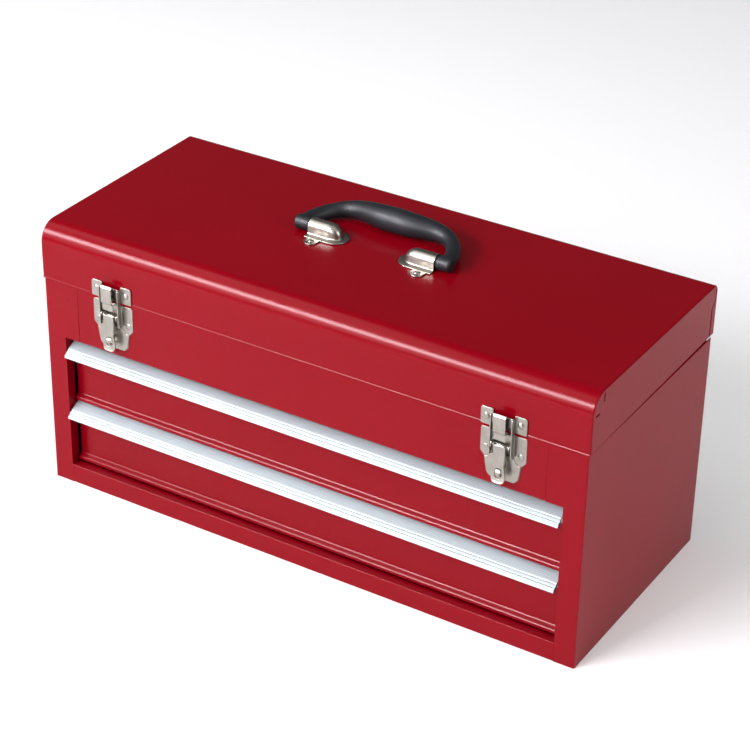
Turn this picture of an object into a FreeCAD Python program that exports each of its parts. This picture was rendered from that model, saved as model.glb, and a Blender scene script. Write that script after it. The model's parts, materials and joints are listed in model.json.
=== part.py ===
import FreeCAD, Part
import math
import os
import re

import Sketcher

# Two-drawer steel tool chest with a lift-out tray, in millimetres.
# X runs along the width, Y to the back and Z up. The origin is the middle of the base.
SIZES = {
    # case
    "case_width": 520, "case_depth": 218, "body_height": 200, "overall_height": 250.5,
    "sheet": 1, "stile_width": 19, "tab_width": 34.5, "rail_height": 18.3,
    "opening_top": 147, "rim_inset": 2, "rim_height": 9, "return_width": 12,
    "back_height": 196, "floor_flange": 10, "rim_stop": 16, "base_inset": 9, "face_return": 12,
    # lid
    "lid_overhang": 1.2, "lid_gap": 0.3, "front_round": 18, "rear_round": 7,
    "end_seam_back": 17.6, "end_seam_width": 1.2, "end_seam_top": 2.7, "end_seam_height": 7.8,
    "nose_seam_back": 5.4, "nose_seam_length": 5.9, "nose_seam_top": 17.3, "nose_seam_width": 1.1,
    # rear hinge
    "hinge_offset": 3.9, "knuckle_radius": 2.5, "knuckle_length": 20, "knuckle_gap": 0.4,
    "pin_radius": 1.2, "leaf_height": 15, "running_fit": 0.05,
    # drawers
    "drawer_first": 19.6, "drawer_pitch": 61.3, "front_half": 239.5, "front_recess": 11.7,
    "step_out": 3.7, "step_top": 7, "front_height": 60, "box_half": 228,
    "box_height": 52, "box_length": 194, "pull_reach": 16.2, "pull_nose": 52.4, "pull_lip": 47.6,
    "pull_flange": 44, "pull_wall": 1.3,
    # slides
    "slide_level": 27, "slide_half": 9, "slide_gap": 0.4, "slide_length": 194,
    "channel_web": 242, "slide_reach": 10.5,
    # latches
    "latch_offset": 187.3, "plate_half": 20.25, "plate_bottom": 154, "plate_top": 197,
    "taper_start": 175, "tongue_half": 5.75, "tongue_proud": 8.4, "tongue_bottom": 200,
    "tongue_top": 214.8, "hook_floor": 204.3, "keeper_top": 215.5, "pivot_out": 4.2,
    "pivot_level": 186.5, "link_drop": 7.4, "lever_half": 5.6, "lever_bottom": 155,
    "ear_half": 9, "link_half": 10.6, "link_top": 213.5, "latch_pin": 1.5, "link_pin": 1.2,
    "staple_level": 163.6, "staple_radius": 3.6, "staple_half": 2.2, "staple_wire": 1.3,
    "lever_slot_half": 3.2, "lever_slot_low": 158.6, "lever_slot_high": 168.4,
    "rivet_radius": 2.8, "keeper_rivet_half": 15, "keeper_rivet_level": 208.2,
    "base_rivet_half": 15.6, "base_rivet_level": 179,
    # carrying handle
    "bracket_mid": -2, "bracket_centre": 45.9, "bracket_length": 30, "axle_back": 4.7,
    "axle_rise": 6.75, "arch_radius": 6.7, "axle_radius": 4.5, "foot_radius": 6,
    "foot_reach": 16.5, "foot_place": 9.5, "flange_margin": 5.4, "flange_sheet": 1.3,
    "handle_mid": -2.6, "handle_half": 69.3, "handle_reach": 59.2, "handle_bow": 22.5,
    "handle_lift": 5.2, "arm_radius": 6.4, "grip_radius": 11, "boss_radius": 6.2,
    "boss_gap": 0.3, "axle_inner": 40,
    # lid stays
    "stay_radius": 30, "stay_above": 30, "stay_below": 20, "stay_width": 8, "stay_sheet": 1.5,
    "stay_inner": 253.4, "stud_radius": 1.9, "stud_head": 3.5, "slot_clearance": 0.2,
    "stay_length": 63.5,
    # tray
    "ledge_level": 166, "ledge_reach": 19, "ledge_leg": 12, "ledge_front": 96, "ledge_back": 46,
    "tray_half": 246, "tray_front": 98, "tray_back": 95, "tray_height": 38,
    "tray_gap": 0.1, "divider_place": 90, "bar_radius": 5.5, "bar_level": 30,
}

doc = FreeCAD.newDocument("ToolChest")
sheet = doc.addObject("Spreadsheet::Sheet", "Sizes")
for row, (alias, value) in enumerate(SIZES.items(), 1):
    sheet.set(f"A{row}", alias)
    sheet.set(f"B{row}", str(value))
    sheet.setAlias(f"B{row}", alias)
doc.recompute()

# Levels and places that several sub-parts share, written as expressions of the sheet.
HALF = "case_width / 2"
FRONT = "-case_depth / 2"
BACK = "case_depth / 2"
LID_HALF = f"({HALF} + lid_overhang)"
LID_FRONT = f"({FRONT} - lid_overhang)"
LID_BACK = f"({BACK} + lid_overhang)"
LID_BOTTOM = "(body_height + lid_gap)"
HINGE_Y = f"({BACK} + hinge_offset)"
AXLE_Z = "(overall_height + axle_rise)"
PIVOT_Y = f"({FRONT} - pivot_out)"
HOOK_Y = f"({LID_FRONT} - tongue_proud)"

sub_parts = []


def formula(text):
    """Point every size named in an expression at its cell."""
    return re.sub(r"[a-z_]+", lambda word: f"Sizes.{word.group()}" if word.group() in SIZES
                  else word.group(), str(text))


def number(text):
    """The value of an expression, for code that shapes a piece itself."""
    return float(sheet.evalExpression(formula(text)))


def bind(thing, **fields):
    """Bind properties to expressions; a double underscore stands for a dot."""
    for field, text in fields.items():
        thing.setExpression(field.replace("__", "."), formula(text))


def keep(thing, label):
    """Name a finished sub-part."""
    thing.Label = label
    sub_parts.append(thing)
    return thing


def block(name, x, y, z):
    """A box between two expressions along each axis."""
    box = doc.addObject("Part::Box", name)
    bind(box, Length=f"({x[1]}) - ({x[0]})", Width=f"({y[1]}) - ({y[0]})",
         Height=f"({z[1]}) - ({z[0]})")
    bind(box, Placement__Base__x=x[0], Placement__Base__y=y[0], Placement__Base__z=z[0])
    return box


TURNS = {"X": FreeCAD.Rotation(FreeCAD.Vector(0, 1, 0), 90),
         "Y": FreeCAD.Rotation(FreeCAD.Vector(1, 0, 0), 90),
         "Z": FreeCAD.Rotation()}


def turned(kind, name, axis, x, y, z, **sizes):
    """A round primitive that starts at a point and runs along X, forward along Y, or up Z."""
    solid = doc.addObject(kind, name)
    solid.Placement = FreeCAD.Placement(FreeCAD.Vector(), TURNS[axis])
    bind(solid, Placement__Base__x=x, Placement__Base__y=y, Placement__Base__z=z, **sizes)
    return solid


def rod(name, axis, radius, length, x, y, z):
    return turned("Part::Cylinder", name, axis, x, y, z, Radius=radius, Height=length)


def rivet(name, axis, radius, rise, x, y, z):
    """A low rivet head that narrows outward."""
    return turned("Part::Cone", name, axis, x, y, z, Radius1=radius,
                  Radius2=f"({radius}) * 0.55", Height=rise)


def ball(name, radius, x, y, z):
    return turned("Part::Sphere", name, "Z", x, y, z, Radius=radius)


def fuse(name, *pieces):
    joined = doc.addObject("Part::MultiFuse", name)
    joined.Shapes = list(pieces)
    joined.Refine = True
    return joined


def group(name, *pieces):
    """Separate solids that share one node."""
    together = doc.addObject("Part::Compound", name)
    together.Links = list(pieces)
    return together


def cut(name, base, tool):
    rest = doc.addObject("Part::Cut", name)
    rest.Base = base
    rest.Tool = tool
    return rest


def mirrored(name, source, middle="0"):
    """The same piece on the other side of a plane across X."""
    twin = doc.addObject("Part::Mirroring", name)
    twin.Source = source
    twin.Normal = FreeCAD.Vector(1, 0, 0)
    bind(twin, Base__x=middle)
    return twin


def profile(name, plane, points, start, length):
    """A body padded from a polygon sketch whose corners are bound to the sheet."""
    body = doc.addObject("PartDesign::Body", name)
    sketch = body.newObject("Sketcher::SketchObject", f"{name}_sketch")
    role = next(item for item in body.Origin.OriginFeatures if item.Role == plane)
    sketch.AttachmentSupport = [(role, "")]
    sketch.MapMode = "FlatFace"
    places = [FreeCAD.Vector(number(x), number(y), 0) for x, y in points]
    for here, there in zip(places, places[1:] + places[:1]):
        sketch.addGeometry(Part.LineSegment(here, there), False)
    for line, (x, y) in enumerate(points):
        following = (line + 1) % len(points)
        sketch.addConstraint(Sketcher.Constraint("Coincident", line, 2, following, 1))
        for way, text in (("DistanceX", x), ("DistanceY", y)):
            place = sketch.addConstraint(Sketcher.Constraint(way, -1, 1, line, 1, number(text)))
            sketch.setExpression(f"Constraints[{place}]", formula(text))
    pad = body.newObject("PartDesign::Pad", f"{name}_pad")
    pad.Profile = sketch
    bind(pad, Length=length)
    body.Tip = pad
    axis = {"YZ_Plane": "x", "XZ_Plane": "y", "XY_Plane": "z"}[plane]
    body.setExpression(f"Placement.Base.{axis}", formula(start))
    doc.recompute()
    return body


def rounded(body, radius, chosen):
    """Fillet those edges of a body whose middle passes a test."""
    tip = body.Tip
    names = [f"Edge{place}" for place, edge in enumerate(tip.Shape.Edges, 1)
             if chosen(edge.CenterOfMass)]
    fillet = body.newObject("PartDesign::Fillet", "Round")
    fillet.Base = (tip, names)
    bind(fillet, Radius=radius)
    body.Tip = fillet
    doc.recompute()
    return body


# ---------------------------------------------------------------- case


def side_panels():
    """Folded ends of the case: wall, front stile, fascia tab, returns and inset rim."""
    outer = f"-{HALF}"
    inner = f"-{HALF} + sheet"
    tab_end = f"-{HALF} + tab_width"
    return_end = f"-{HALF} + return_width + sheet"
    rim_x = f"-{HALF} + rim_inset"
    rim_y = f"{FRONT} + rim_inset"
    rim_back = f"{BACK} - rim_stop"
    shoulder = ("body_height - sheet", "body_height")
    rim = ("body_height - sheet", "body_height + rim_height")
    left = fuse(
        "side_panel",
        block("wall", (outer, inner), (FRONT, BACK), ("0", "body_height")),
        block("stile", (outer, f"-{HALF} + stile_width"), (FRONT, f"{FRONT} + sheet"),
              ("0", "opening_top + sheet")),
        block("tab", (outer, tab_end), (FRONT, f"{FRONT} + sheet"), ("opening_top", "body_height")),
        block("rear_return", (outer, return_end), (f"{BACK} - 2 * sheet", f"{BACK} - sheet"),
              ("sheet", "back_height - sheet")),
        block("base_return", (outer, return_end), (f"{FRONT} + base_inset", f"{BACK} - base_inset"),
              ("sheet", "2 * sheet")),
        block("side_shoulder", (outer, f"{rim_x} + sheet"), (FRONT, rim_back), shoulder),
        block("side_rim", (rim_x, f"{rim_x} + sheet"), (rim_y, rim_back), rim),
        block("tab_shoulder", (outer, tab_end), (FRONT, f"{rim_y} + sheet"), shoulder),
        block("tab_rim", (rim_x, tab_end), (rim_y, f"{rim_y} + sheet"), rim))
    keep(left, "side_panel_left")
    keep(mirrored("side_panel_twin", left), "side_panel_right")


def front_fascia():
    """Fixed front above the drawers, joggled behind the tabs of the side panels."""
    face = f"({HALF} - tab_width - 0.3)"
    behind = f"({HALF} - stile_width + 2)"
    rim_y = f"{FRONT} + rim_inset"
    pieces = [
        block("face", (f"-{face}", face), (FRONT, f"{FRONT} + sheet"),
              ("opening_top", "body_height")),
        block("face_return", (f"-{face}", face), (FRONT, f"{FRONT} + face_return"),
              ("opening_top", "opening_top + sheet")),
        block("shoulder", (f"-{face}", face), (FRONT, f"{rim_y} + sheet"),
              ("body_height - sheet", "body_height")),
        block("rim", (f"-{face}", face), (rim_y, f"{rim_y} + sheet"),
              ("body_height - sheet", "body_height + rim_height")),
    ]
    for side, span in (("left", (f"-{behind}", f"2 - {face}")), ("right", (f"{face} - 2", behind))):
        pieces.append(block(f"joggle_{side}", span, (f"{FRONT} + sheet", f"{FRONT} + 2 * sheet"),
                            ("opening_top", "body_height - 2 * sheet")))
    keep(fuse("fascia", *pieces), "front_fascia")


def pans():
    """Base with its front rail, back panel, and compartment floor with its welding strips."""
    inner = f"({HALF} - sheet)"
    lip = f"({HALF} - stile_width)"
    keep(fuse("base",
              block("base_plate", (f"-{inner}", inner), (f"{FRONT} + sheet", f"{BACK} - sheet"),
                    ("0", "sheet")),
              block("base_lip", (f"-{lip}", lip), (FRONT, f"{FRONT} + sheet"), ("0", "rail_height")),
              block("base_root", (f"-{lip}", lip), (FRONT, f"{FRONT} + 3 * sheet"), ("0", "sheet")),
              block("base_rail", (f"-{lip}", lip), (FRONT, f"{FRONT} + base_inset"),
                    ("rail_height - sheet", "rail_height"))), "bottom_panel")
    keep(block("back", (f"-{inner}", inner), (f"{BACK} - sheet", BACK), ("0", "back_height")),
         "back_panel")
    level = "opening_top + sheet"
    front = f"{FRONT} + 2 * sheet"
    back = f"{BACK} - 2 * sheet"
    flange = (f"{level} + sheet", f"{level} + floor_flange")
    pieces = [block("floor_plate", (f"-{inner}", inner), (front, back), (level, f"{level} + sheet"))]
    for name, x, y in (
            ("front", (f"-{inner}", inner), (front, f"{front} + sheet")),
            ("rear", (f"-{inner}", inner), (f"{back} - sheet", back)),
            ("left", (f"-{inner}", f"sheet - {inner}"), (f"{front} + sheet", f"{back} - sheet")),
            ("right", (f"{inner} - sheet", inner), (f"{front} + sheet", f"{back} - sheet"))):
        pieces.append(block(f"floor_flange_{name}", x, y, flange))
    keep(group("floor", *pieces), "compartment_floor")


def slide_channel(name, level):
    """Outer slide channel on two spacers from the side panel."""
    web = "-channel_web"
    front = f"({FRONT} + 15)"
    span = (front, f"{front} + slide_length")
    reach = (web, f"{web} + slide_reach")
    top = f"{level} + slide_half"
    bottom = f"{level} - slide_half"
    pieces = [
        block(f"{name}_web", (web, f"{web} + sheet"), span, (bottom, top)),
        block(f"{name}_upper", reach, span, (f"{top} - sheet", top)),
        block(f"{name}_lower", reach, span, (bottom, f"{bottom} + sheet")),
    ]
    for place in (10, 150):
        pieces.append(block(f"{name}_spacer", (f"-{HALF} + sheet", web),
                            (f"{front} + {place}", f"{front} + {place} + 25"),
                            (f"{bottom} + 2", f"{top} - 2")))
    return fuse(name, *pieces)


def hinge():
    """Piano hinge along the rear edge: two leaves with alternate knuckles, and the pin."""
    count = 24
    start = f"(-{count} / 2 * knuckle_length)"
    end = f"({count} / 2 * knuckle_length)"
    level = "body_height"
    plates = {
        "hinge_leaf_case": [block("case_plate", (start, end), (BACK, f"{BACK} + sheet"),
                                  (f"{level} - 3 - leaf_height", f"{level} - 3"))],
        "hinge_leaf_lid": [block("lid_plate", (start, end), (LID_BACK, f"{LID_BACK} + sheet"),
                                 (f"{level} + 3", f"{level} + 2 + leaf_height"))],
    }
    for place in range(count):
        first = f"{start} + {place} * knuckle_length + knuckle_gap / 2"
        last = f"{start} + {place + 1} * knuckle_length - knuckle_gap / 2"
        if place % 2:
            leaf, near, web = "hinge_leaf_lid", LID_BACK, (f"{level} + 1.4", f"{level} + 3.5")
        else:
            leaf, near, web = "hinge_leaf_case", BACK, (f"{level} - 3.5", f"{level} - 1.4")
        plates[leaf] += [
            rod(f"barrel_{place}", "X", "knuckle_radius", "knuckle_length - knuckle_gap",
                first, HINGE_Y, level),
            block(f"web_{place}", (first, last), (near, HINGE_Y), web),
        ]
    for label, pieces in plates.items():
        bore = rod(f"{label}_bore", "X", "pin_radius + running_fit", f"{end} - {start} + 10",
                   f"{start} - 5", HINGE_Y, level)
        keep(cut(f"{label}_cut", fuse(f"{label}_solid", *pieces), bore), label)
    keep(rod("hinge_rod", "X", "pin_radius", f"{end} - {start} + 2", f"{start} - 1", HINGE_Y, level),
         "hinge_pin")


# ---------------------------------------------------------------- lid


def crowned_bar(name, half, front, back, bottom, top, inset):
    """Long bar with a large round along the top front edge and a small one behind."""
    bar = profile(name, "YZ_Plane", [(front, bottom), (back, bottom), (back, top), (front, top)],
                  f"-{half}", f"2 * {half}")
    crest = number(top) - 0.01
    rounded(bar, f"front_round - {inset}", lambda point: point.z > crest and point.y < -50)
    return rounded(bar, f"rear_round - {inset}",
                   lambda point: point.z > crest and point.y > number(back) - 0.01)


def lid_shell():
    """Folded lid, open below, with the seams of its folded corners cut in the end walls."""
    outer = crowned_bar("lid_outer", LID_HALF, LID_FRONT, LID_BACK, LID_BOTTOM, "overall_height", "0")
    inner = crowned_bar("lid_inner", f"({LID_HALF} - sheet)", f"{LID_FRONT} + sheet",
                        f"{LID_BACK} - sheet", f"{LID_BOTTOM} - 5", "overall_height - sheet", "sheet")
    ends = (f"-{LID_HALF} - 1", f"{LID_HALF} + 1")
    seams = fuse(
        "lid_seams",
        block("end_seam", ends,
              (f"{LID_FRONT} + end_seam_back", f"{LID_FRONT} + end_seam_back + end_seam_width"),
              ("overall_height - end_seam_top - end_seam_height", "overall_height - end_seam_top")),
        block("nose_seam", ends,
              (f"{LID_FRONT} + nose_seam_back", f"{LID_FRONT} + nose_seam_back + nose_seam_length"),
              ("overall_height - nose_seam_top - nose_seam_width", "overall_height - nose_seam_top")))
    keep(cut("lid_cut", cut("lid_folded", outer, inner), seams), "lid_shell")


def bracket(name):
    """Handle bracket: bored arch with a domed inner end on a flange with two feet."""
    outer = "(bracket_mid - bracket_centre - bracket_length / 2)"
    inner = f"({outer} + bracket_length - arch_radius)"
    base = "overall_height"
    plate = (base, f"{base} + flange_sheet")
    foot = f"({outer} + foot_place)"
    flange = "(arch_radius + flange_margin)"
    pieces = [
        rod(f"{name}_arch", "X", "arch_radius", f"{inner} - {outer}", outer, "axle_back", AXLE_Z),
        block(f"{name}_wall", (outer, inner), ("axle_back - arch_radius", "axle_back + arch_radius"),
              (base, AXLE_Z)),
        ball(f"{name}_dome", "arch_radius", inner, "axle_back", AXLE_Z),
        rod(f"{name}_skirt", "Z", "arch_radius", "axle_rise", inner, "axle_back", base),
        block(f"{name}_flange", (outer, inner), (f"axle_back - {flange}", f"axle_back + {flange}"),
              plate),
        rod(f"{name}_toe", "Z", flange, "flange_sheet", inner, "axle_back", base),
    ]
    for text, near, far in (("front", "axle_back - foot_reach", "axle_back"),
                            ("rear", "axle_back", "axle_back + foot_reach")):
        pieces.append(block(f"{name}_{text}_foot", (f"{foot} - foot_radius", f"{foot} + foot_radius"),
                            (near, far), plate))
        pieces.append(rod(f"{name}_{text}_end", "Z", "foot_radius", "flange_sheet", foot,
                          near if text == "front" else far, base))
    bore = rod(f"{name}_bore", "X", "axle_radius + running_fit", "bracket_length - 3",
               f"{outer} - 1", "axle_back", AXLE_Z)
    return cut(f"{name}_cut", fuse(f"{name}_solid", *pieces), bore)


def brackets():
    left = keep(bracket("bracket"), "handle_bracket_left")
    keep(mirrored("bracket_twin", left, "bracket_mid"), "handle_bracket_right")
    place = "(bracket_centre + bracket_length / 2 - foot_place)"
    heads = [rivet("bracket_rivet", "Z", "rivet_radius", "1.6", f"bracket_mid + {side} * {place}",
                   f"axle_back + {way} * foot_reach", "overall_height + flange_sheet")
             for side in (-1, 1) for way in (-1, 1)]
    keep(group("bracket_rivet_set", *heads), "bracket_rivets")


# ---------------------------------------------------------------- carrying handle


def handle():
    """Loop handle whose grip swells towards its inner side, with a steel axle at each end."""
    power = 1.89
    ring_count = 22
    fine = 400
    swell_start, swell_width = 0.9, 0.84
    centre = FreeCAD.Vector(number("handle_mid"), number("axle_back"), number(AXLE_Z))
    half = number("handle_half")
    reach = number("handle_reach")
    bow = number("handle_bow")
    lift = number("handle_lift")
    thin = number("arm_radius")
    thick = number("grip_radius")

    def swell(along):
        fullness = min(1, max(0, (swell_start - abs(along)) / swell_width))
        return fullness * fullness * (3 - 2 * fullness)

    def place(turn):
        along = math.copysign(abs(math.sin(turn)) ** (2 / power), turn)
        out = abs(math.cos(turn)) ** (2 / power)
        return centre + FreeCAD.Vector(half * along, reach * out - bow * swell(along), lift * out ** 2)

    track = [place(math.radians(89.5) * step / fine) for step in range(-fine, fine + 1)]
    walked = [0]
    for here, there in zip(track, track[1:]):
        walked.append(walked[-1] + here.distanceToPoint(there))
    rings = []
    for step in range(ring_count + 1):
        goal = walked[-1] * step / ring_count
        spot = min(range(len(track)), key=lambda item: abs(walked[item] - goal))
        spot = min(max(spot, 4), len(track) - 5)
        size = thin + (thick - thin) * swell((track[spot].x - centre.x) / half)
        rings.append(Part.Wire(Part.makeCircle(size, track[spot], track[spot + 4] - track[spot - 4])))
    solid = Part.makeLoft(rings, True)
    solid = solid.fuse([Part.makeSphere(thin + 0.1, ring.CenterOfMass) for ring in (rings[0], rings[-1])])
    bracket_end = "(bracket_centre + bracket_length / 2)"
    starts = (("left", "handle_mid - handle_half", f"bracket_mid - {bracket_end} - boss_gap"),
              ("right", f"bracket_mid + {bracket_end} + boss_gap", "handle_mid + handle_half"))
    bosses = [rod(f"boss_{side}", "X", "boss_radius", f"({far}) - ({near})", near, "axle_back", AXLE_Z)
              for side, near, far in starts]
    length = "handle_half - axle_inner - arm_radius"
    axles = group("axle_pair",
                  rod("axle_left", "X", "axle_radius", length,
                      "handle_mid - handle_half + arm_radius", "axle_back", AXLE_Z),
                  rod("axle_right", "X", "axle_radius", length,
                      "handle_mid + axle_inner", "axle_back", AXLE_Z))
    doc.recompute()
    grip = doc.addObject("Part::Feature", "grip")
    grip.Shape = solid.fuse([boss.Shape for boss in bosses]).cut([axle.Shape for axle in axles.Links])
    keep(grip, "handle_grip")
    keep(axles, "handle_axles")


# ---------------------------------------------------------------- latches


def latch(side, centre):
    """One draw latch: base, keeper, lever, link, pins and rivets about one centre line."""
    face = FRONT
    lid_face = LID_FRONT

    def across(half):
        return (f"{centre} - {half}", f"{centre} + {half}")

    plate = profile(f"plate_{side}", "XZ_Plane", [
        (f"{centre} - plate_half", "plate_top"), (f"{centre} - plate_half", "taper_start"),
        (f"{centre} - plate_half + 3.8", "taper_start - 4"),
        (f"{centre} - plate_half + 6", "plate_bottom + 3"),
        (f"{centre} - plate_half + 9", "plate_bottom"),
        (f"{centre} + plate_half - 9", "plate_bottom"),
        (f"{centre} + plate_half - 6", "plate_bottom + 3"),
        (f"{centre} + plate_half - 3.8", "taper_start - 4"),
        (f"{centre} + plate_half", "taper_start"), (f"{centre} + plate_half", "plate_top")],
        face, "sheet")
    pieces = [plate]
    for way in (-1, 1):
        ear = (f"{centre} + {way} * (ear_half - 0.5) - 0.5", f"{centre} + {way} * (ear_half - 0.5) + 0.5")
        pieces.append(block(f"ear_{side}", ear, (PIVOT_Y, f"{face} - sheet / 2"),
                            ("pivot_level - 3.4", "pivot_level + 3.4")))
        pieces.append(rod(f"ear_nose_{side}", "X", "3.4", "1", ear[0], PIVOT_Y, "pivot_level"))
    bore = rod(f"ear_bore_{side}", "X", "latch_pin + running_fit", "3 * ear_half",
               f"{centre} - 1.5 * ear_half", PIVOT_Y, "pivot_level")
    crown = f"({face} - 5.6)"
    ring = rod(f"staple_outer_{side}", "X", "staple_radius", "2 * staple_half",
               f"{centre} - staple_half", crown, "staple_level")
    legs = block(f"staple_legs_{side}", across("staple_half"), (crown, f"{face} - 0.5"),
                 ("staple_level - staple_radius", "staple_level + staple_radius"))
    eye = rod(f"staple_eye_{side}", "X", "staple_radius - staple_wire", "4 * staple_half",
              f"{centre} - 2 * staple_half", crown, "staple_level")
    gap = block(f"staple_gap_{side}", across("2 * staple_half"), (crown, f"{face} - sheet"),
                ("staple_level - staple_radius + staple_wire",
                 "staple_level + staple_radius - staple_wire"))
    staple = cut(f"staple_{side}", fuse(f"staple_solid_{side}", ring, legs),
                 fuse(f"staple_hole_{side}", eye, gap))
    bored = cut(f"base_bored_{side}", fuse(f"base_solid_{side}", *pieces), bore)
    keep(fuse(f"latch_base_{side}_solid", bored, staple), f"latch_base_{side}")

    keep(fuse(f"keeper_solid_{side}",
              block(f"keeper_plate_{side}", across("plate_half"), (f"{lid_face} - sheet", lid_face),
                    ("body_height + lid_gap", "keeper_top")),
              block(f"keeper_neck_{side}", across("tongue_half"), (HOOK_Y, lid_face),
                    ("hook_floor", "hook_floor + sheet")),
              block(f"keeper_tongue_{side}", across("tongue_half"), (HOOK_Y, f"{HOOK_Y} + sheet"),
                    ("tongue_bottom", "tongue_top"))), f"latch_keeper_{side}")

    web_y = f"({PIVOT_Y} - 1)"
    rails = ("pivot_level - link_drop - 2", "link_top")
    pieces = [block(f"link_bar_{side}", across("link_half"), (f"{web_y}", f"{web_y} + 1.2"),
                    ("hook_floor + sheet + 0.2", "link_top"))]
    for way in (-1, 1):
        rail = (f"{centre} + {way} * (link_half - 0.5) - 0.5",
                f"{centre} + {way} * (link_half - 0.5) + 0.5")
        pieces.append(block(f"link_rail_{side}", rail, (f"{PIVOT_Y} - 2.6", f"{PIVOT_Y} + 1.8"), rails))
    link_bore = rod(f"link_bore_{side}", "X", "link_pin + running_fit", "4 * link_half",
                    f"{centre} - 2 * link_half", PIVOT_Y, "pivot_level - link_drop")
    keep(cut(f"link_{side}", fuse(f"link_solid_{side}", *pieces), link_bore), f"latch_link_{side}")
    keep(rod(f"link_rod_{side}", "X", "link_pin", "2 * link_half + 1", f"{centre} - link_half - 0.5",
             PIVOT_Y, "pivot_level - link_drop"), f"latch_link_pin_{side}")

    lever_y = f"({PIVOT_Y} - 3.6)"
    pieces = [block(f"lever_plate_{side}", across("lever_half"), (lever_y, f"{lever_y} + 1.2"),
                    ("lever_bottom", "pivot_level + 1.6"))]
    for way in (-1, 1):
        cheek = (f"{centre} + {way} * (lever_half - 0.5) - 0.5",
                 f"{centre} + {way} * (lever_half - 0.5) + 0.5")
        pieces.append(block(f"cheek_{side}", cheek, (lever_y, f"{PIVOT_Y} + 1.6"),
                            ("pivot_level - link_drop - 3", "pivot_level + 1.6")))
    slot = block(f"lever_slot_{side}", across("lever_slot_half"), (f"{lever_y} - 1", f"{lever_y} + 2"),
                 ("lever_slot_low", "lever_slot_high"))
    pivot_bore = rod(f"lever_bore_{side}", "X", "latch_pin + running_fit", "3 * ear_half",
                     f"{centre} - 1.5 * ear_half", PIVOT_Y, "pivot_level")
    link_hole = rod(f"lever_hole_{side}", "X", "link_pin + running_fit", "4 * link_half",
                    f"{centre} - 2 * link_half", PIVOT_Y, "pivot_level - link_drop")
    keep(cut(f"lever_{side}", fuse(f"lever_solid_{side}", *pieces),
             fuse(f"lever_cuts_{side}", slot, pivot_bore, link_hole)), f"latch_lever_{side}")
    keep(rod(f"lever_rod_{side}", "X", "latch_pin", "2 * ear_half + 0.6",
             f"{centre} - ear_half - 0.3", PIVOT_Y, "pivot_level"), f"latch_pivot_pin_{side}")

    for name, half, wall, level in (
            ("keeper", "keeper_rivet_half", lid_face, "keeper_rivet_level"),
            ("base", "base_rivet_half", face, "base_rivet_level")):
        heads = [rivet(f"{name}_rivet_{side}", "Y", "rivet_radius", "1.4", f"{centre} + {way} * {half}",
                       f"{wall} - sheet", level) for way in (-1, 1)]
        keep(group(f"{name}_rivet_pair_{side}", *heads), f"{name}_rivets_{side}")


# ---------------------------------------------------------------- lid stays


def stays():
    """Slotted arm that hangs from the lid and slides over a stud on the side panel."""
    pin_y = f"({HINGE_Y} - stay_radius * cos(stay_above * 1 deg))"
    pin_z = "(body_height + stay_radius * sin(stay_above * 1 deg))"
    stud_y = f"({HINGE_Y} - stay_radius * cos(stay_below * 1 deg))"
    stud_z = "(body_height - stay_radius * sin(stay_below * 1 deg))"
    arm_end = "(stay_inner + stay_sheet)"
    head = "1"

    def stud(name, y, z, wall, radius):
        """Shouldered stud from a wall inward, with the arm between shoulder and head."""
        return fuse(name,
                    rod(f"{name}_shoulder", "X", "stud_head", f"{wall} - {arm_end} - 0.2",
                        f"{arm_end} + 0.2", y, z),
                    rod(f"{name}_neck", "X", radius, "stay_sheet + 1.4",
                        "stay_inner - 0.7", y, z),
                    rod(f"{name}_head", "X", "stud_head", head, f"stay_inner - 0.2 - {head}", y, z))

    lid_stud = stud("lid_stud", pin_y, pin_z, f"({LID_HALF} - sheet)", "stud_radius")
    case_stud = stud("case_stud", stud_y, stud_z, f"({HALF} - sheet)", "stud_radius")
    arm = profile("arm", "YZ_Plane", [
        ("-stay_width / 2", "-stay_length"), ("stay_width / 2", "-stay_length"),
        ("stay_width / 2", "stay_width / 2"), ("-stay_width / 2", "stay_width / 2")],
        "0", "stay_sheet")
    rounded(arm, "stay_width / 2 - 0.1", lambda point: abs(point.x - number("stay_sheet / 2")) < 0.01)
    first = "(2 * stay_radius * sin((stay_above + stay_below) / 2 * 1 deg))"
    slot_half = "(stud_radius + slot_clearance)"
    slot = block("arm_slot", ("-1", "3"), (f"-{slot_half}", slot_half),
                 ("-stay_length + 4", f"2 - {first}"))
    hole = rod("arm_hole", "X", "stud_radius + running_fit", "4", "-1", "0", "0")
    slotted = cut("arm_slotted", arm, fuse("arm_cuts", slot, hole))
    tilt = math.degrees(math.atan2(number(pin_y) - number(stud_y), number(pin_z) - number(stud_z)))
    slotted.Placement = FreeCAD.Placement(FreeCAD.Vector(), FreeCAD.Rotation(
        FreeCAD.Vector(1, 0, 0), -tilt))
    bind(slotted, Placement__Base__x="stay_inner", Placement__Base__y=pin_y,
         Placement__Base__z=pin_z)
    for thing, label in ((slotted, "stay_arm"), (lid_stud, "stay_pivot"), (case_stud, "stay_stud")):
        keep(thing, f"{label}_right")
        keep(mirrored(f"{label}_twin", thing), f"{label}_left")


# ---------------------------------------------------------------- drawers


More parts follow.
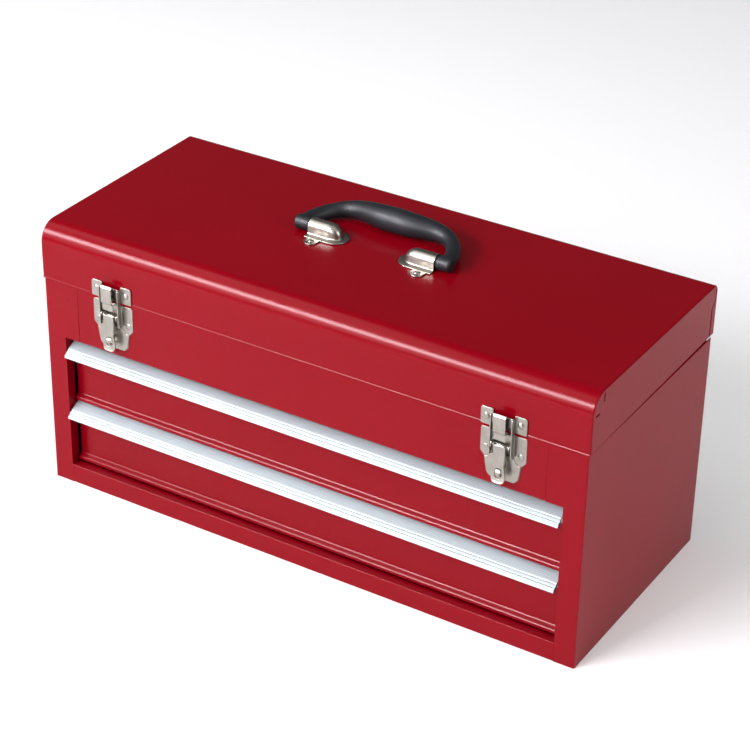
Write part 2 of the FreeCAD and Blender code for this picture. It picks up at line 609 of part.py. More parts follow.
def drawer(name, base):
    """Drawer box, stepped front, pull bar and two slide rails, above its base level."""
    face = f"({FRONT} + front_recess)"
    back = f"({face} + sheet + box_length)"
    front = profile(f"front_{name}", "YZ_Plane", [
        (f"{face} - step_out + 6", base), (f"{face} - step_out", base),
        (f"{face} - step_out", f"{base} + step_top - step_out"), (face, f"{base} + step_top"),
        (face, f"{base} + front_height"), (f"{face} + sheet", f"{base} + front_height"),
        (f"{face} + sheet", f"{base} + step_top - 0.4"),
        (f"{face} - step_out + sheet", f"{base} + step_top - step_out - 0.4"),
        (f"{face} - step_out + sheet", f"{base} + sheet"),
        (f"{face} - step_out + 6", f"{base} + sheet")], "-front_half", "2 * front_half")
    keep(front, f"drawer_front_{name}")

    nose = f"({face} - pull_reach)"
    pull = profile(f"pull_{name}", "YZ_Plane", [
        (face, f"{base} + front_height"), (f"{face} - 7.2", f"{base} + front_height"),
        (nose, f"{base} + pull_nose"), (nose, f"{base} + pull_lip"),
        (f"{nose} + pull_wall", f"{base} + pull_lip"),
        (f"{nose} + pull_wall", f"{base} + pull_nose - 0.6"),
        (f"{face} - 7.6", f"{base} + front_height - 1.8"),
        (f"{face} - 1.5", f"{base} + front_height - 1.8"),
        (f"{face} - 1.5", f"{base} + pull_flange"), (face, f"{base} + pull_flange")],
        "-front_half", "2 * front_half")
    crown = (number(f"{face} - 7.2"), number(f"{base} + front_height"))
    nose_edge = (number(nose), number(f"{base} + pull_nose"))
    for radius, (y, z) in (("3.5", crown), ("1.4", nose_edge)):
        rounded(pull, radius,
                lambda point: abs(point.y - y) < 0.1 and abs(point.z - z) < 0.1)
    keep(pull, f"drawer_pull_{name}")

    box = block(f"box_{name}", ("-box_half", "box_half"), (f"{face} + sheet", back),
                (f"{base} + 1.2", f"{base} + box_height"))
    hollow = block(f"box_hollow_{name}", ("-box_half + sheet", "box_half - sheet"),
                   (f"{face} + 2 * sheet", f"{back} - sheet"),
                   (f"{base} + 1.2 + sheet", f"{base} + box_height + 5"))
    step = block(f"box_step_{name}", ("-box_half - 1", "box_half + 1"),
                 (f"{face}", f"{face} - step_out + 6.2"), (f"{base}", f"{base} + sheet + 0.1"))
    keep(cut(f"box_cut_{name}", box, fuse(f"box_tools_{name}", hollow, step)), f"drawer_box_{name}")

    level = f"({base} + slide_level)"
    inner = "slide_half - sheet - slide_gap"
    span = (f"{FRONT} + 17", f"{FRONT} + 15 + slide_length - 2")
    end = "-channel_web + sheet + 1.2"
    rail = fuse(f"rail_{name}",
                block(f"rail_web_{name}", ("-box_half - sheet", "-box_half"), span,
                      (f"{level} - ({inner})", f"{level} + {inner}")),
                block(f"rail_top_{name}", (end, "-box_half"), span,
                      (f"{level} + {inner} - sheet", f"{level} + {inner}")),
                block(f"rail_bottom_{name}", (end, "-box_half"), span,
                      (f"{level} - ({inner})", f"{level} - ({inner}) + sheet")))
    keep(rail, f"slide_rail_{name}_left")
    keep(mirrored(f"rail_twin_{name}", rail), f"slide_rail_{name}_right")
    channel = slide_channel(f"channel_{name}", level)
    keep(channel, f"slide_channel_{name}_left")
    keep(mirrored(f"channel_twin_{name}", channel), f"slide_channel_{name}_right")


# ---------------------------------------------------------------- tray


def tray():
    """Lift-out tray on two ledges, with two dividers that carry its grip bar."""
    ledge = fuse("ledge",
                 block("ledge_shelf", (f"-{HALF} + sheet", f"-{HALF} + sheet + ledge_reach"),
                       ("-ledge_front", "ledge_back"), ("ledge_level", "ledge_level + sheet")),
                 block("ledge_leg", (f"-{HALF} + sheet", f"-{HALF} + 2 * sheet"),
                       ("-ledge_front", "ledge_back"), ("ledge_level", "ledge_level + ledge_leg")))
    keep(ledge, "tray_ledge_left")
    keep(mirrored("ledge_twin", ledge), "tray_ledge_right")
    bottom = "(ledge_level + sheet + tray_gap)"
    top = f"({bottom} + tray_height)"
    pan = block("tray_solid", ("-tray_half", "tray_half"), ("-tray_front", "tray_back"), (bottom, top))
    hollow = block("tray_hollow", ("-tray_half + sheet", "tray_half - sheet"),
                   ("-tray_front + sheet", "tray_back - sheet"), (f"{bottom} + sheet", f"{top} + 1"))
    keep(cut("tray_cut", pan, hollow), "tray_pan")
    bar_z = f"({bottom} + bar_level)"
    plates = []
    for place in ("-divider_place", "divider_place"):
        plates.append(block("divider", (f"{place} - sheet / 2", f"{place} + sheet / 2"),
                            ("-tray_front + sheet", "tray_back - sheet"),
                            (f"{bottom} + sheet", f"{top} - 1")))
    keep(group("divider_pair", *plates), "tray_dividers")
    keep(rod("bar", "X", "bar_radius", "2 * divider_place - sheet", "-divider_place + sheet / 2",
             "(tray_back - tray_front) / 2", bar_z), "tray_grip_bar")


side_panels()
front_fascia()
pans()
hinge()
lid_shell()
brackets()
handle()
latch("left", "(-latch_offset)")
latch("right", "(latch_offset)")
stays()
drawer("lower", "drawer_first")
drawer("upper", "(drawer_first + drawer_pitch)")
tray()
doc.recompute()

for thing in doc.Objects:
    faults = {"Invalid", "Error"} & set(thing.State)
    if faults:
        raise RuntimeError(f"{thing.Name}: {thing.State}")
for piece in sub_parts:
    if piece.Shape.isNull() or not piece.Shape.isValid():
        raise RuntimeError(f"{piece.Label}: bad shape")

os.makedirs("parts", exist_ok=True)
for piece in sub_parts:
    piece.Shape.exportStep(f"parts/{piece.Label}.step")
print(len(sub_parts), "sub-parts")
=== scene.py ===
import json
import math

import bmesh
import bpy
from mathutils import Matrix, Vector


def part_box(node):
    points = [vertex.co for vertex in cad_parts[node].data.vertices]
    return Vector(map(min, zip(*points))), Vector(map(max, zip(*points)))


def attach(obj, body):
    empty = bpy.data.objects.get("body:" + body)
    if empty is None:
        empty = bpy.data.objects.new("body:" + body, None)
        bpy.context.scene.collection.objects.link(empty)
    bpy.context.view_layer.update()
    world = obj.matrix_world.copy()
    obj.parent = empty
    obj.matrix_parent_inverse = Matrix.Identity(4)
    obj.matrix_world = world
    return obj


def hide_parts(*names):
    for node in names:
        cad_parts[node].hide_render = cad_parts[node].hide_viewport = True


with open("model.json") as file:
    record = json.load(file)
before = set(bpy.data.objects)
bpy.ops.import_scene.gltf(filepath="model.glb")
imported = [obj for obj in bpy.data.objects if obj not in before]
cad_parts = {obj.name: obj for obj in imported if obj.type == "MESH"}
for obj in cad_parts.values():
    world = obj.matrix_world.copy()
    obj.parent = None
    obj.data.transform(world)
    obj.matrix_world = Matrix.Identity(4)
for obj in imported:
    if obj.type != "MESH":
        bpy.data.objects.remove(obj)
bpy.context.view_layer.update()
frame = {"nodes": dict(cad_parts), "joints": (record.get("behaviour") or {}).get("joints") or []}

MM = 0.001
scene = bpy.context.scene
scene.view_settings.view_transform = "Standard"


# ---------------------------------------------------------------- camera, stage and light


def make_camera():
    """Long lens from the front right, a little above the lid."""
    azimuth, elevation, roll = (math.radians(angle) for angle in (31.21, 30.29, 1.08))
    target, distance = Vector((0.0037, 0.001, 0.1347)), 1.9789
    back = Vector((math.sin(azimuth) * math.cos(elevation),
                   -math.cos(azimuth) * math.cos(elevation), math.sin(elevation)))
    right = (-back).cross(Vector((0, 0, 1))).normalized()
    up = right.cross(-back)
    right_turned = math.cos(roll) * right + math.sin(roll) * up
    up_turned = math.cos(roll) * up - math.sin(roll) * right
    data = bpy.data.cameras.new("camera")
    data.lens = 111.87
    data.sensor_width = 36
    data.clip_end = 20
    camera = bpy.data.objects.new("camera", data)
    scene.collection.objects.link(camera)
    place = Matrix((right_turned, up_turned, back)).transposed().to_4x4()
    place.translation = target + back * distance
    camera.matrix_world = place
    scene.camera = camera


def area_light(name, direction, distance, size, power, colour=(1, 1, 1)):
    """Soft box that faces the middle of the object from a direction."""
    aim = Vector((0, 0, 0.12))
    data = bpy.data.lights.new(name, "AREA")
    data.shape = "RECTANGLE"
    data.size, data.size_y = size
    data.energy = power
    data.color = colour
    lamp = bpy.data.objects.new(name, data)
    scene.collection.objects.link(lamp)
    way = Vector(direction).normalized()
    lamp.location = aim + way * distance
    lamp.rotation_euler = way.to_track_quat("Z", "Y").to_euler()
    return lamp


def make_lights():
    """Soft boxes, a broad light overhead and a faint sky; the strip shows in reflections only."""
    key_way, key_tint = (-0.447, -0.708, 0.546), (1, 0.965, 1.03)
    area_light("key", key_way, 2.4, (1.9, 0.36), 70, key_tint)
    strip = area_light("strip", key_way, 2.45, (1.9, 0.62), 110, key_tint)
    strip.visible_diffuse = False
    area_light("veil", (-0.447, -0.253, 0.858), 2.4, (1.9, 1.0), 15)
    area_light("front_fill", (-0.28, -0.93, 0.34), 3.2, (2.6, 1.2), 46)
    area_light("side_fill", (0.95, -0.1, 0.45), 3.0, (1.6, 1.6), 46)
    sun = bpy.data.lights.new("top_light", "SUN")
    sun.energy = 0.55
    sun.angle = math.radians(50)
    lamp = bpy.data.objects.new("top_light", sun)
    lamp.rotation_euler = Vector((0.25, -0.15, 1)).to_track_quat("Z", "Y").to_euler()
    scene.collection.objects.link(lamp)
    world = bpy.data.worlds.new("studio")
    world.use_nodes = True
    sky = world.node_tree.nodes["Background"]
    sky.inputs["Color"].default_value = (0.97, 0.98, 1.0, 1)
    sky.inputs["Strength"].default_value = 0.15
    scene.world = world


def make_floor():
    """Plain pale floor."""
    mesh = bpy.data.meshes.new("floor")
    reach = 6
    corners = [(-reach, -reach, 0), (reach, -reach, 0), (reach, reach, 0), (-reach, reach, 0)]
    mesh.from_pydata(corners, [], [(0, 1, 2, 3)])
    floor = bpy.data.objects.new("floor", mesh)
    scene.collection.objects.link(floor)
    material = bpy.data.materials.new("floor_pale")
    material.use_nodes = True
    shader = material.node_tree.nodes["Principled BSDF"]
    shader.inputs["Base Color"].default_value = (0.96, 0.96, 0.96, 1)
    shader.inputs["Roughness"].default_value = 0.9
    mesh.materials.append(material)


# ---------------------------------------------------------------- materials


class Paint:
    """Builds one node material step by step."""

    def __init__(self, name):
        self.material = bpy.data.materials.new(name)
        self.material.use_nodes = True
        self.tree = self.material.node_tree
        self.shader = self.tree.nodes["Principled BSDF"]
        self.place = self.node("ShaderNodeTexCoord").outputs["Object"]

    def node(self, kind):
        return self.tree.nodes.new(kind)

    def link(self, source, target):
        self.tree.links.new(source, target)

    def set(self, **values):
        for name, value in values.items():
            self.shader.inputs[name.replace("_", " ")].default_value = value

    def stretched(self, scale):
        """Object coordinates scaled by a different amount on each axis."""
        mapping = self.node("ShaderNodeMapping")
        mapping.inputs["Scale"].default_value = scale
        self.link(self.place, mapping.inputs["Vector"])
        return mapping.outputs["Vector"]

    def noise(self, scale, detail, rough=0.5, vector=None):
        made = self.node("ShaderNodeTexNoise")
        made.inputs["Scale"].default_value = scale
        made.inputs["Detail"].default_value = detail
        made.inputs["Roughness"].default_value = rough
        self.link(vector or self.place, made.inputs["Vector"])
        return made.outputs["Fac"]

    def cells(self, scale):
        made = self.node("ShaderNodeTexVoronoi")
        made.inputs["Scale"].default_value = scale
        self.link(self.place, made.inputs["Vector"])
        return made.outputs["Distance"]

    def colour(self, factor, low, high, start=0.3, end=0.7):
        """Base colour between two tones."""
        made = self.node("ShaderNodeValToRGB")
        for element, place, tone in zip(made.color_ramp.elements, (start, end), (low, high)):
            element.position = place
            element.color = (*tone, 1)
        self.link(factor, made.inputs["Fac"])
        self.link(made.outputs["Color"], self.shader.inputs["Base Color"])

    def rough(self, factor, low, high):
        """Roughness between two values."""
        made = self.node("ShaderNodeMapRange")
        made.inputs["To Min"].default_value = low
        made.inputs["To Max"].default_value = high
        made.inputs["From Min"].default_value = 0.25
        made.inputs["From Max"].default_value = 0.75
        self.link(factor, made.inputs["Value"])
        self.link(made.outputs["Result"], self.shader.inputs["Roughness"])

    def bump(self, *layers):
        """Heights in metres, stacked: (factor, distance) pairs."""
        normal = None
        for factor, distance in layers:
            made = self.node("ShaderNodeBump")
            made.inputs["Distance"].default_value = distance
            made.inputs["Strength"].default_value = 1
            self.link(factor, made.inputs["Height"])
            if normal:
                self.link(normal, made.inputs["Normal"])
            normal = made.outputs["Normal"]
        self.link(normal, self.shader.inputs["Normal"])


def red_enamel():
    """Gloss baked enamel: slight orange peel, a breath of tone change and fine dust."""
    paint = Paint("red_enamel")
    paint.colour(paint.noise(7, 4), (0.176, 0.0002, 0.0042), (0.19, 0.0004, 0.0052))
    paint.rough(paint.noise(90, 4, 0.6), 0.17, 0.22)
    paint.set(Specular_IOR_Level=0.105)
    paint.bump((paint.noise(420, 2), 0.000006), (paint.noise(1500, 2), 0.0000012))
    return paint.material


def plated_steel():
    """Nickel plate over pressed steel: warm grey with a random tone change and soft die marks."""
    paint = Paint("nickel_plate")
    paint.colour(paint.noise(110, 5, 0.6), (0.245, 0.229, 0.2), (0.315, 0.298, 0.265))
    paint.rough(paint.noise(420, 4), 0.27, 0.4)
    paint.set(Metallic=1.0)
    paint.bump((paint.noise(500, 3), 0.000009), (paint.noise(2600, 2), 0.000002))
    return paint.material


def drawn_aluminium():
    """Anodised extrusion with fine die lines along its length."""
    paint = Paint("drawn_aluminium")
    lines = paint.noise(1, 6, 0.7, paint.stretched((2, 2600, 2600)))
    paint.colour(lines, (0.315, 0.36, 0.38), (0.385, 0.435, 0.455))
    paint.rough(lines, 0.27, 0.38)
    paint.set(Metallic=0.2, Specular_IOR_Level=0.3)
    paint.bump((lines, 0.000003), (paint.noise(900, 3), 0.000002))
    return paint.material


def zinc_plate():
    """Dull zinc plate with a faint spangle."""
    paint = Paint("zinc_plate")
    paint.colour(paint.cells(420), (0.36, 0.37, 0.385), (0.42, 0.43, 0.45), 0.1, 0.8)
    paint.rough(paint.noise(500, 4), 0.3, 0.46)
    paint.set(Metallic=1.0)
    paint.bump((paint.noise(1500, 3), 0.00001))
    return paint.material


def grip_plastic():
    """Black moulded grip: fine leather-like grain and handling sheen."""
    paint = Paint("grip_plastic")
    paint.colour(paint.noise(60, 4), (0.0055, 0.0068, 0.0095), (0.0095, 0.0112, 0.0148))
    paint.rough(paint.noise(300, 4), 0.42, 0.56)
    paint.set(Specular_IOR_Level=0.32)
    paint.bump((paint.cells(1900), 0.00004), (paint.noise(4200, 2), 0.00001))
    return paint.material


MATERIALS = {
    "red_enamel": red_enamel(), "nickel": plated_steel(), "aluminium": drawn_aluminium(),
    "zinc": zinc_plate(), "grip_black": grip_plastic(),
}


# ---------------------------------------------------------------- mesh helpers, in millimetres


def fresh(vertices, faces):
    """A welded mesh with outward normals from millimetre points."""
    mesh = bpy.data.meshes.new("work")
    bm = bmesh.new()
    places = [bm.verts.new(Vector(point) * MM) for point in vertices]
    for face in faces:
        corners = [places[item] for item in face]
        if len(set(corners)) > 2:
            bm.faces.new(corners)
    bmesh.ops.remove_doubles(bm, verts=bm.verts, dist=1e-7)
    bmesh.ops.recalc_face_normals(bm, faces=bm.faces)
    bm.to_mesh(mesh)
    bm.free()
    return mesh


def worked(mesh, *steps):
    """The mesh with modifiers applied, given as (kind, settings) pairs."""
    holder = bpy.data.objects.new("holder", mesh)
    scene.collection.objects.link(holder)
    for kind, settings in steps:
        modifier = holder.modifiers.new(kind, kind)
        for name, value in settings.items():
            setattr(modifier, name, value)
    bpy.context.view_layer.update()
    done = bpy.data.meshes.new_from_object(
        holder.evaluated_get(bpy.context.evaluated_depsgraph_get()))
    bpy.data.objects.remove(holder)
    return done


def soft_edges(mesh, width=0.25, segments=2, turn=32):
    """Round every edge sharper than an angle and keep the flats flat."""
    mesh.polygons.foreach_set("use_smooth", [True] * len(mesh.polygons))
    return worked(mesh, ("BEVEL", {
        "width": width * MM, "segments": segments, "limit_method": "ANGLE",
        "angle_limit": math.radians(turn), "use_clamp_overlap": False}),
        ("WEIGHTED_NORMAL", {"keep_sharp": True, "weight": 80}))


def joined(*meshes):
    """Several meshes as one."""
    bm = bmesh.new()
    for mesh in meshes:
        bm.from_mesh(mesh)
    whole = bpy.data.meshes.new("work")
    bm.to_mesh(whole)
    bm.free()
    return whole


def moved(mesh, x):
    """A copy of the mesh moved along X."""
    copy = mesh.copy()
    copy.transform(Matrix.Translation(Vector((x, 0, 0)) * MM))
    return copy


def put(name, mesh, body, slot, *nodes):
    """Place a finished mesh on its body; it stands for the CAD nodes named."""
    mesh.name = name
    mesh.materials.clear()
    mesh.materials.append(MATERIALS[slot])
    mesh.polygons.foreach_set("use_smooth", [True] * len(mesh.polygons))
    mesh.polygons.foreach_set("material_index", [0] * len(mesh.polygons))
    piece = bpy.data.objects.new(name, mesh)
    scene.collection.objects.link(piece)
    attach(piece, body)
    if nodes:
        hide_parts(*nodes)


def filleted(points, radii, closed=False, steps=6):
    """A polyline whose corners are replaced by arcs."""
    line = []
    count = len(points)
    for place, (point, radius) in enumerate(zip(points, radii)):
        if radius <= 0 or (not closed and place in (0, count - 1)):
            line.append(tuple(point))
            continue
        corner = Vector(point)
        before = (Vector(points[place - 1]) - corner).normalized()
        after = (Vector(points[(place + 1) % count]) - corner).normalized()
        half = before.angle(after) / 2
        middle = corner + (before + after).normalized() * radius / math.sin(half)
        start = corner + before * radius / math.tan(half) - middle
        end = corner + after * radius / math.tan(half) - middle
        first = math.atan2(start.y, start.x)
        sweep = (math.atan2(end.y, end.x) - first + math.pi) % math.tau - math.pi
        for step in range(steps + 1):
            turn = first + sweep * step / steps
            line.append((middle.x + radius * math.cos(turn), middle.y + radius * math.sin(turn)))
    return line


AXES = {"x": (0, 1, 2), "y": (1, 0, 2), "z": (2, 0, 1)}


def spot(axis, along, across, up):
    """A point from its place along an axis and its two places across it."""
    place = [0, 0, 0]
    for item, value in zip(AXES[axis], (along, across, up)):
        place[item] = value
    return tuple(place)


def prism(outline, axis, start, end):
    """A closed outline carried along an axis."""
    count = len(outline)
    vertices = [spot(axis, level, *point) for level in (start, end) for point in outline]
    faces = [tuple(range(count)), tuple(range(count, 2 * count))]
    faces += [(item, (item + 1) % count, (item + 1) % count + count, item + count)
              for item in range(count)]
    return fresh(vertices, faces)


def offset_line(line, thickness):
    """The line moved sideways to its left, for the other face of a sheet."""
    shifted = []
    for place, point in enumerate(line):
        before = Vector(line[max(place - 1, 0)])
        after = Vector(line[min(place + 1, len(line) - 1)])
        here = Vector(point)
        ways = [(here - before), (after - here)]
        ways = [way.normalized() for way in ways if way.length > 1e-9]
        way = (ways[0] + ways[-1]).normalized()
        stretch = thickness / max(0.4, way.dot(ways[0]))
        shifted.append((here.x - way.y * stretch, here.y + way.x * stretch))
    return shifted


def folded(points, radii, thickness, axis, start, end, edge=0.2):
    """A bent sheet: a line with rounded bends, thickened to its left and carried along an axis."""
    line = filleted(points, radii)
    outline = line + offset_line(line, thickness)[::-1]
    return soft_edges(prism(outline, axis, start, end), edge, 2, 50)


def plate(outline, axis, start, end, holes=(), edge=0.25):
    """A flat blank with holes and rounded rims, from start to end along an axis."""
    curve = bpy.data.curves.new("work", "CURVE")
    curve.dimensions = "2D"
    curve.fill_mode = "BOTH"
    curve.extrude = (abs(end - start) / 2 - edge) * MM
    curve.bevel_depth = edge * MM
    curve.bevel_resolution = 2
    curve.offset = -edge * MM
    for loop in (outline, *holes):
        spline = curve.splines.new("POLY")
        spline.points.add(len(loop) - 1)
        for point, (across, up) in zip(spline.points, loop):
            point.co = (across * MM, up * MM, 0, 1)
        spline.use_cyclic_u = True
    holder = bpy.data.objects.new("holder", curve)
    scene.collection.objects.link(holder)
    bpy.context.view_layer.update()
    flat = bpy.data.meshes.new_from_object(
        holder.evaluated_get(bpy.context.evaluated_depsgraph_get()))
    bpy.data.objects.remove(holder)
    bm = bmesh.new()
    bm.from_mesh(flat)
    for vertex in bm.verts:
        across, up, deep = vertex.co
        vertex.co = spot(axis, (start + end) / 2 * MM + deep, across, up)
    bmesh.ops.remove_doubles(bm, verts=bm.verts, dist=2e-6)
    bmesh.ops.dissolve_degenerate(bm, edges=bm.edges, dist=1e-6)
    bmesh.ops.recalc_face_normals(bm, faces=bm.faces)
    bm.to_mesh(flat)
    bm.free()
    flat.polygons.foreach_set("use_smooth", [True] * len(flat.polygons))
    return worked(flat, ("WEIGHTED_NORMAL", {"keep_sharp": True}))


def slot_hole(half, low, high):
    """A round-ended upright slot of a half width, between two heights."""
    ends, steps = [], 8
    for centre, first in ((high - half, 0), (low + half, math.pi)):
        ends += [(half * math.cos(first + math.pi * step / steps),
                  centre + half * math.sin(first + math.pi * step / steps))
                 for step in range(steps + 1)]
    return ends


def spun(section, axis, centre, steps=24):
    """A round piece from its section: (along, radius) pairs about an axis."""
    vertices, faces = [], []
    for along, radius in section:
        for step in range(steps):
            turn = math.tau * step / steps
            place = Vector(spot(axis, along, radius * math.cos(turn), radius * math.sin(turn)))
            vertices.append(place + Vector(centre))
    for ring in range(len(section) - 1):
        for step in range(steps):
            following = (step + 1) % steps
            faces.append((ring * steps + step, ring * steps + following,
                          (ring + 1) * steps + following, (ring + 1) * steps + step))
    for ring in (0, len(section) - 1):
        if section[ring][1] > 1e-6:
            faces.append(tuple(range(ring * steps, (ring + 1) * steps)))
    return fresh(vertices, faces)


def rivet_head(axis, centre, radius, rise, way):
    """Domed head with a small flat collar, rising one way along an axis."""
    collar, dome, steps = 0.18, 0.94, 7
    section = [(0, radius), (collar * rise * way, radius)]
    for step in range(1, steps + 1):
        turn = math.pi / 2 * step / steps
        section.append((way * rise * (collar + (1 - collar) * math.sin(turn)),
                        radius * dome * math.cos(turn)))
    return spun(section, axis, centre)


def pin(axis, centre, radius, half, head=0.0):
    """Round bar with domed ends, and heads where head is more than its radius."""
    section = [(-half, 0), (-half + 0.15, radius * 0.6), (-half + 0.4, radius)]
    if head:
        section = [(-half, 0), (-half + 0.1, head * 0.6), (-half + 0.35, head * 0.93),
                   (-half + 0.6, head), (-half + 1.0, head), (-half + 1.0, radius)]
    section += [(-along, size) for along, size in section[::-1]]
    return spun(section, axis, centre, 20)


def tube(points, radius, sides):
    """A round bar along points, with rings turned as little as possible; the radius may vary."""
    path = [Vector(point) for point in points]
    vertices, faces = [], []
    side = None
    for place, here in enumerate(path):
        before = path[max(place - 1, 0)]
        after = path[min(place + 1, len(path) - 1)]
        way = (after - before).normalized()
        if side is None:
            side = way.orthogonal().normalized()
        side = (side - way * side.dot(way)).normalized()
        other = way.cross(side)
        size = radius(place / (len(path) - 1)) if callable(radius) else radius
        for step in range(sides):
            turn = math.tau * step / sides
            vertices.append(here + side * size * math.cos(turn) + other * size * math.sin(turn))
    for ring in range(len(path) - 1):
        for step in range(sides):
            following = (step + 1) % sides
            faces.append((ring * sides + step, ring * sides + following,
                          (ring + 1) * sides + following, (ring + 1) * sides + step))
    faces.append(tuple(range(sides)))
    faces.append(tuple(range((len(path) - 1) * sides, len(path) * sides)))
    return fresh(vertices, faces)


def sheet_copy(node, folds=(), width=0.2):
    """A CAD sheet with a bend radius on its outer folds and softened rims."""
    bend = 0.9
    bm = bmesh.new()
    bm.from_mesh(frame["nodes"][node].data)
    bmesh.ops.remove_doubles(bm, verts=bm.verts, dist=1e-6)
    bmesh.ops.dissolve_limit(bm, angle_limit=math.radians(0.5), verts=bm.verts, edges=bm.edges)
    chosen = []
    for edge in bm.edges:
        for line in folds:
            if all(abs(vertex.co[axis] - value * MM) < 1e-5
                   for vertex in edge.verts for axis, value in line):
                if edge.is_manifold and edge.calc_face_angle(0) > 1:
                    chosen.append(edge)
                break
    if chosen:
        bmesh.ops.bevel(bm, geom=chosen, offset=bend * MM, segments=3, profile=0.5,
                        affect="EDGES", clamp_overlap=False)
    mesh = bpy.data.meshes.new("work")
    bm.to_mesh(mesh)
    bm.free()
    return soft_edges(mesh, width, 2, 45)


def box_mm(node):
    """Low and high corners of a CAD node."""
    low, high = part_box(node)
    return low / MM, high / MM


def joint_mm(name):
    """Where a joint turns."""
    return Vector(next(joint["pos_m"] for joint in frame["joints"] if joint["name"] == name)) / MM


# ---------------------------------------------------------------- sheet metal


def carved(mesh, tool):
    """The mesh less a tool."""
    holder = bpy.data.objects.new("tool", tool)
    scene.collection.objects.link(holder)
    done = worked(mesh, ("BOOLEAN", {"operation": "DIFFERENCE", "object": holder, "solver": "EXACT"}))
    bpy.data.objects.remove(holder)
    return done


def end_cuts(low, high):
    """Tools for the lid's ends: the seam of the rear tab, the gap along the rim and two slits."""
    groove, through, seam_width = 0.8, 3, 1.5
    seam = filleted([(high.y - 8, low.z + 4.3), (high.y - 8, high.z - 20), (high.y - 2, high.z - 16.5),
                     (high.y - 2, high.z - 5)], [0, 3, 3, 0])
    gap = [(low.y + 1.5, low.z - 1), (low.y + 2.5, low.z + 1), (high.y + 1, low.z + 4.1),
           (high.y + 1, low.z - 1)]
    marks = [(seam + offset_line(seam, seam_width)[::-1], groove), (gap, through)]
    for y, z in (((low.y + 17.4, low.y + 19), (high.z - 10.8, high.z - 2.6)),
                 ((low.y + 5.2, low.y + 11.5), (high.z - 18.7, high.z - 17.2))):
        slit = [(y[0], z[0]), (y[1], z[0]), (y[1], z[1]), (y[0], z[1])]
        marks.append((filleted(slit, [0.65] * 4, True, 3), through))
    return [prism(mark, "x", *sorted((side * (high.x - depth), side * (high.x + 2))))
            for side in (-1, 1) for mark, depth in marks]


def make_lid():
    """Deep-drawn lid: outer and inner skins with rounded ends, joined around the open rim."""
    low, high = box_mm("lid_shell")
    sheet, bead, steps = 1, 0.4, 16
    front_round, rear_round = 18, 7

    def rings(depth, corner):
        """Profiles of one skin at each end, from one rounded corner to the other."""
        turns = [math.radians(22.5 * step) for step in range(4, -1, -1)]
        found = []
        for side, order in ((-1, turns), (1, turns[::-1])):
            for turn in order:
                x = side * (high.x - depth - corner * (1 - math.sin(turn)))
                inset = depth + corner * (1 - math.cos(turn))
                wall = inset + bead
                line = filleted([(low.y + inset, low.z), (low.y + inset, low.z + 0.7),
                                 (low.y + wall, low.z + 1.3), (low.y + wall, high.z - inset),
                                 (high.y - inset, high.z - inset), (high.y - inset, low.z)],
                                [0, 0.3, 0.3, front_round - wall, rear_round - inset, 0], steps=steps)
                found.append([(x, *point) for point in line])
        return found

    loops = rings(0, 1.4) + rings(sheet, 0.4)
    count, half = len(loops[0]), len(loops) // 2
    faces = []
    for base in (0, half):
        for ring in range(base, base + half - 1):
            faces += [(ring * count + step, ring * count + step + 1,
                       (ring + 1) * count + step + 1, (ring + 1) * count + step)
                      for step in range(count - 1)]
        faces += [tuple(range(ring * count, (ring + 1) * count)) for ring in (base, base + half - 1)]
    for edge in (0, count - 1):
        faces += [(ring * count + edge, (ring + 1) * count + edge,
                   (ring + 1 + half) * count + edge, (ring + half) * count + edge)
                  for ring in range(half - 1)]
    for ring in (0, half - 1):
        faces.append((ring * count, ring * count + count - 1,
                      (ring + half) * count + count - 1, (ring + half) * count))
    shell = fresh([point for loop in loops for point in loop], faces)
    for vertex in shell.vertices:
        back = vertex.co.y / MM - low.y
        if vertex.co.z / MM < low.z + 2 and back > 0:
            vertex.co.z += (min(1, back / 8) * 0.7 + 3 * back / (high.y - low.y)) * MM
    put("lid_skin", soft_edges(carved(shell, joined(*end_cuts(low, high))), 0.25, 3, 50),
        "lid", "red_enamel", "lid_shell")


def make_case():
    """Side panels, fascia, stile returns, base, back and compartment floor, with their welds."""
    low, high = box_mm("side_panel_right")
    front, top = low.y, joint_mm("lid_hinge").z
    sill, lintel, opening = 18.3, 147, 241
    sheet, tab_edge = 0.9, 225
    for side, x in (("left", -high.x), ("right", high.x)):
        folds = [((0, x), (1, front)), ((0, x), (2, top)), ((1, front), (2, top)),
                 ((0, x), (1, high.y))]
        put(f"side_{side}", sheet_copy(f"side_panel_{side}", folds), "case", "red_enamel",
            f"side_panel_{side}")
    fascia = sheet_copy("front_fascia", [((1, front), (2, lintel)), ((1, front), (2, top))], 0.1)
    for vertex in fascia.vertices:
        if vertex.co.x > tab_edge * MM and vertex.co.y < (front + 3) * MM:
            vertex.co.x += 0.25 * MM
    put("fascia", fascia, "case", "red_enamel", "front_fascia")
    for side, way in (("left", -1), ("right", 1)):
        line = [(0, front + sheet), (0, front + 10.4), (6 * way, front + 10.4)]
        flange = folded(line, [0, 1, 0], -sheet * way, "z", sill + 0.2, lintel - 0.2, 0.15)
        put(f"stile_return_{side}", moved(flange, opening * way), "case", "red_enamel")
    put("base_pan", sheet_copy("bottom_panel", [((1, front), (2, sill)), ((1, front), (2, 0))]),
        "case", "red_enamel", "bottom_panel")
    put("back_sheet", sheet_copy("back_panel"), "case", "red_enamel", "back_panel")
    put("floor_pan", sheet_copy("compartment_floor"), "case", "red_enamel", "compartment_floor")
    welds = [rivet_head("y", (-236, front, 184.5), 1.8, 0.1, -1)]
    for x in range(-200, 201, 80):
        for level in (12, 152):
            welds.append(rivet_head("y", (x, high.y, level), 2, 0.15, 1))
    put("spot_welds", joined(*welds), "case", "red_enamel")


